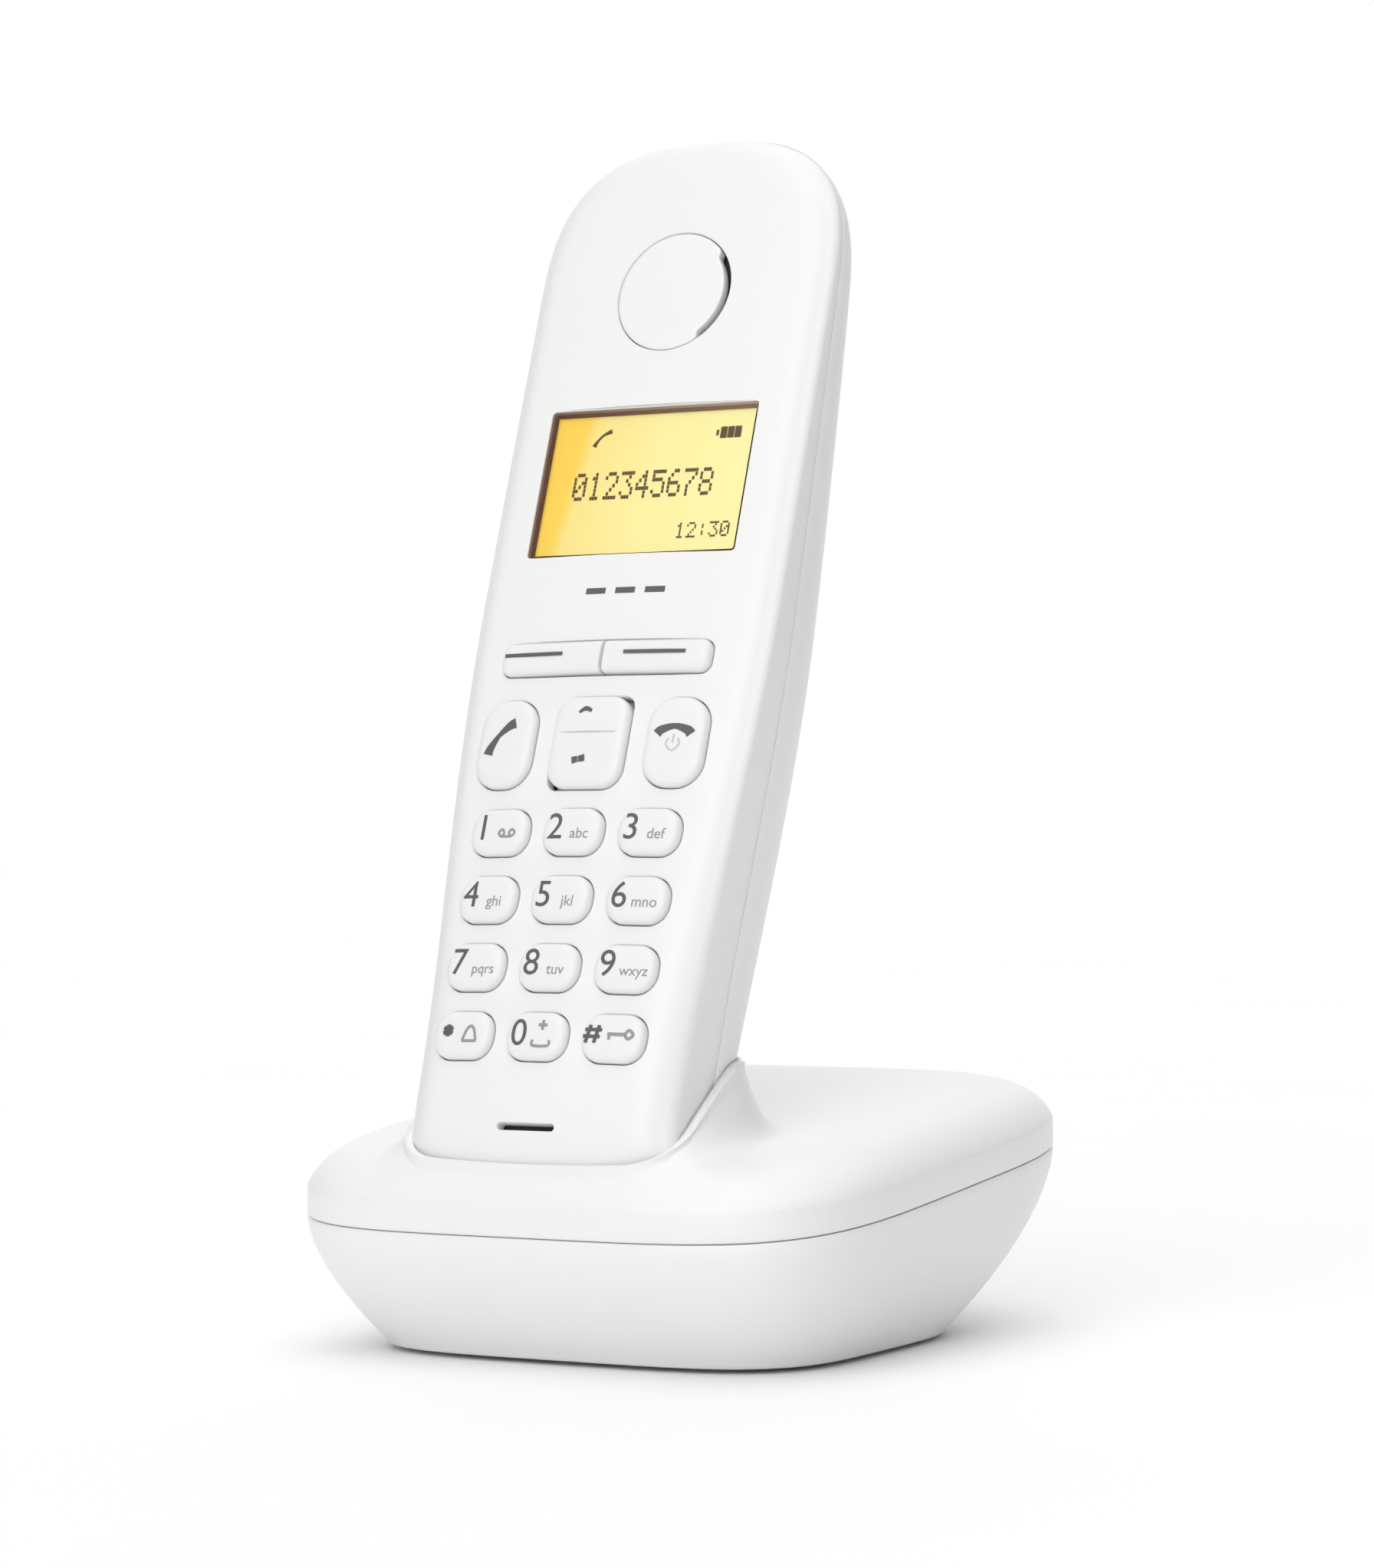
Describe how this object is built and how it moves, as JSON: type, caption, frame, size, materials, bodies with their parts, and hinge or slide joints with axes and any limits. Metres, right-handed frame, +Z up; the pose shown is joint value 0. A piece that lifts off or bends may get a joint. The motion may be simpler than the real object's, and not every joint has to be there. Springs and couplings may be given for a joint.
{
  "type": "cordless phone with base",
  "caption": "Slim white cordless handset leaning back in the pocket of a low rounded charging base, with keypad, amber display and sprung keys.",
  "frame": {"origin": "on the table, under the middle of the base's plan", "axes": "+Z up, +Y to the back (the handset's face looks to -Y), +X to the right of someone facing the keys"},
  "size_m": [0.0896, 0.0932, 0.172],
  "materials": {
    "white_shell": "smooth white plastic with a soft gloss",
    "white_key": "white plastic, satin",
    "clear_window": "clear polished plastic window",
    "amber_display": "backlit amber liquid crystal panel",
    "silicone": "matte silicone",
    "circuit_board": "green solder mask",
    "black_plastic": "matte black plastic",
    "contact_metal": "plated spring strip",
    "steel": "bright zinc plate",
    "rubber": "matte rubber",
    "cell_sleeve": "printed shrink sleeve"
  },
  "bodies": {
    "base": {"base_top_shell": "white_shell", "base_bottom_shell": "white_shell", "base_circuit_board": "circuit_board", "line_socket": "black_plastic", "power_socket": "black_plastic", "rubber_foot_front_left": "rubber", "rubber_foot_front_right": "rubber", "rubber_foot_rear_left": "rubber", "rubber_foot_rear_right": "rubber", "base_screw_front_left": "steel", "base_screw_front_right": "steel", "base_screw_rear_left": "steel", "base_screw_rear_right": "steel"},
    "handset": {"handset_front_shell": "white_shell", "handset_back_shell": "white_shell", "earpiece_cap": "white_shell", "earpiece_receiver": "black_plastic", "microphone": "black_plastic", "ringer_speaker": "black_plastic", "display_window": "clear_window", "display_module": "amber_display", "keypad_mat": "silicone", "handset_circuit_board": "circuit_board", "handset_screw_left": "steel", "handset_screw_right": "steel", "charging_contact_left": "contact_metal", "charging_contact_right": "contact_metal", "battery_cell_left": "cell_sleeve", "battery_cell_right": "cell_sleeve", "battery_spring_left": "steel", "battery_spring_right": "steel", "battery_plate_left": "contact_metal", "battery_plate_right": "contact_metal"},
    "battery_cover": {"battery_cover": "white_shell"},
    "paging_key": {"paging_key": "white_key"},
    "charging_strip_left": {"charging_strip_left": "contact_metal"},
    "charging_strip_right": {"charging_strip_right": "contact_metal"},
    "rocker_key": {"rocker_key": "white_key"},
    "key_1": {"key_1": "white_key"},
    "key_2": {"key_2": "white_key"},
    "key_3": {"key_3": "white_key"},
    "key_4": {"key_4": "white_key"},
    "key_5": {"key_5": "white_key"},
    "key_6": {"key_6": "white_key"},
    "key_7": {"key_7": "white_key"},
    "key_8": {"key_8": "white_key"},
    "key_9": {"key_9": "white_key"},
    "key_star": {"key_star": "white_key"},
    "key_0": {"key_0": "white_key"},
    "key_hash": {"key_hash": "white_key"},
    "call_key": {"call_key": "white_key"},
    "end_key": {"end_key": "white_key"},
    "soft_key_left": {"soft_key_left": "white_key"},
    "soft_key_right": {"soft_key_right": "white_key"}
  },
  "joints": [
    {"name": "handset_lift", "type": "slide", "parent": "base", "child": "handset", "axis": [0, 0.3371, 0.9415], "range_m": [0, 0.06]},
    {"name": "battery_cover_release", "type": "slide", "parent": "handset", "child": "battery_cover", "axis": [0, 0.9415, -0.3371], "range_m": [0, 0.009]},
    {"name": "paging_key_travel", "type": "slide", "parent": "base", "child": "paging_key", "axis": [0, -0.809, 0.5878], "range_m": [0, 0.0008], "stiffness_N_per_m": 500},
    {"name": "charging_strip_left_flex", "type": "slide", "parent": "base", "child": "charging_strip_left", "axis": [0, -0.3371, -0.9415], "range_m": [0, 0.001], "stiffness_N_per_m": 400},
    {"name": "charging_strip_right_flex", "type": "slide", "parent": "base", "child": "charging_strip_right", "axis": [0, -0.3371, -0.9415], "range_m": [0, 0.001], "stiffness_N_per_m": 400},
    {"name": "key_1_travel", "type": "slide", "parent": "handset", "child": "key_1", "axis": [0, 0.9415, -0.3371], "range_m": [0, 0.0008], "stiffness_N_per_m": 400},
    {"name": "key_2_travel", "type": "slide", "parent": "handset", "child": "key_2", "axis": [0, 0.9415, -0.3371], "range_m": [0, 0.0008], "stiffness_N_per_m": 400},
    {"name": "key_3_travel", "type": "slide", "parent": "handset", "child": "key_3", "axis": [0, 0.9415, -0.3371], "range_m": [0, 0.0008], "stiffness_N_per_m": 400},
    {"name": "key_4_travel", "type": "slide", "parent": "handset", "child": "key_4", "axis": [0, 0.9415, -0.3371], "range_m": [0, 0.0008], "stiffness_N_per_m": 400},
    {"name": "key_5_travel", "type": "slide", "parent": "handset", "child": "key_5", "axis": [0, 0.9415, -0.3371], "range_m": [0, 0.0008], "stiffness_N_per_m": 400},
    {"name": "key_6_travel", "type": "slide", "parent": "handset", "child": "key_6", "axis": [0, 0.9415, -0.3371], "range_m": [0, 0.0008], "stiffness_N_per_m": 400},
    {"name": "key_7_travel", "type": "slide", "parent": "handset", "child": "key_7", "axis": [0, 0.9415, -0.3371], "range_m": [0, 0.0008], "stiffness_N_per_m": 400},
    {"name": "key_8_travel", "type": "slide", "parent": "handset", "child": "key_8", "axis": [0, 0.9415, -0.3371], "range_m": [0, 0.0008], "stiffness_N_per_m": 400},
    {"name": "key_9_travel", "type": "slide", "parent": "handset", "child": "key_9", "axis": [0, 0.9415, -0.3371], "range_m": [0, 0.0008], "stiffness_N_per_m": 400},
    {"name": "key_star_travel", "type": "slide", "parent": "handset", "child": "key_star", "axis": [0, 0.9415, -0.3371], "range_m": [0, 0.0008], "stiffness_N_per_m": 400},
    {"name": "key_0_travel", "type": "slide", "parent": "handset", "child": "key_0", "axis": [0, 0.9415, -0.3371], "range_m": [0, 0.0008], "stiffness_N_per_m": 400},
    {"name": "key_hash_travel", "type": "slide", "parent": "handset", "child": "key_hash", "axis": [0, 0.9415, -0.3371], "range_m": [0, 0.0008], "stiffness_N_per_m": 400},
    {"name": "call_key_travel", "type": "slide", "parent": "handset", "child": "call_key", "axis": [0, 0.9415, -0.3371], "range_m": [0, 0.0008], "stiffness_N_per_m": 400},
    {"name": "end_key_travel", "type": "slide", "parent": "handset", "child": "end_key", "axis": [0, 0.9415, -0.3371], "range_m": [0, 0.0008], "stiffness_N_per_m": 400},
    {"name": "soft_key_left_travel", "type": "slide", "parent": "handset", "child": "soft_key_left", "axis": [0, 0.9415, -0.3371], "range_m": [0, 0.0008], "stiffness_N_per_m": 400},
    {"name": "soft_key_right_travel", "type": "slide", "parent": "handset", "child": "soft_key_right", "axis": [0, 0.9415, -0.3371], "range_m": [0, 0.0008], "stiffness_N_per_m": 400},
    {"name": "rocker_key_tilt", "type": "hinge", "parent": "handset", "child": "rocker_key", "pos_m": [0, -0.02245, 0.08403], "axis": [1, 0, 0], "range_deg": [-1.5, 1.5], "stiffness_Nm_per_rad": 0.1}
  ]
}
